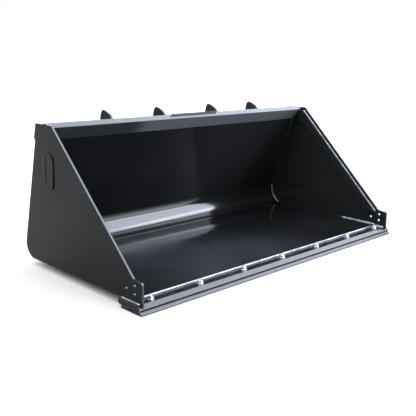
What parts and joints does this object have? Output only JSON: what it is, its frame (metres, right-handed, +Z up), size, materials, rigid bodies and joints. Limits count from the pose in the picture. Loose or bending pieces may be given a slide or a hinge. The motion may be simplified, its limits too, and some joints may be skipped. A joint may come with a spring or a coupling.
{
  "type": "skid steer bucket",
  "caption": "Wide welded steel loader bucket with sloping sides, a bolt-on cutting edge, a ribbed back and a universal quick attach.",
  "frame": {"origin": "centre of the bounding box's bottom face: on the ground, on the bucket's middle plane", "axes": "+X across the bucket to its right seen from behind the mouth looking in, -Y out of the open mouth, +Y to the loader, +Z up"},
  "size_m": [2.022, 1.0844, 0.7925],
  "materials": {
    "body_paint": "gloss black paint over rolled plate",
    "edge_paint": "satin black paint over mill-finished edge steel",
    "bolt_zinc": "bright zinc plate"
  },
  "bodies": {
    "root": {"attach_plate_left": "body_paint", "attach_plate_right": "body_paint", "badge_plate_left": "body_paint", "badge_plate_right": "body_paint", "base_edge": "edge_paint", "bolt_on_edge": "edge_paint", "edge_nuts": "bolt_zinc", "edge_washers": "bolt_zinc", "heel_shoes": "edge_paint", "hook_lip_left": "body_paint", "hook_lip_right": "body_paint", "pin_ledge_left": "body_paint", "pin_ledge_right": "body_paint", "plow_bolts": "bolt_zinc", "rib_inner_left": "body_paint", "rib_inner_right": "body_paint", "rib_outer_left": "body_paint", "rib_outer_right": "body_paint", "shell_sheet": "body_paint", "shoe_bolts": "bolt_zinc", "side_plate_left": "body_paint", "side_plate_right": "body_paint", "side_stiffener_left": "body_paint", "side_stiffener_right": "body_paint", "step_strip": "body_paint", "top_rail": "body_paint", "wear_strap_centre": "edge_paint", "wear_strap_left": "edge_paint", "wear_strap_right": "edge_paint"}
  },
  "joints": []
}
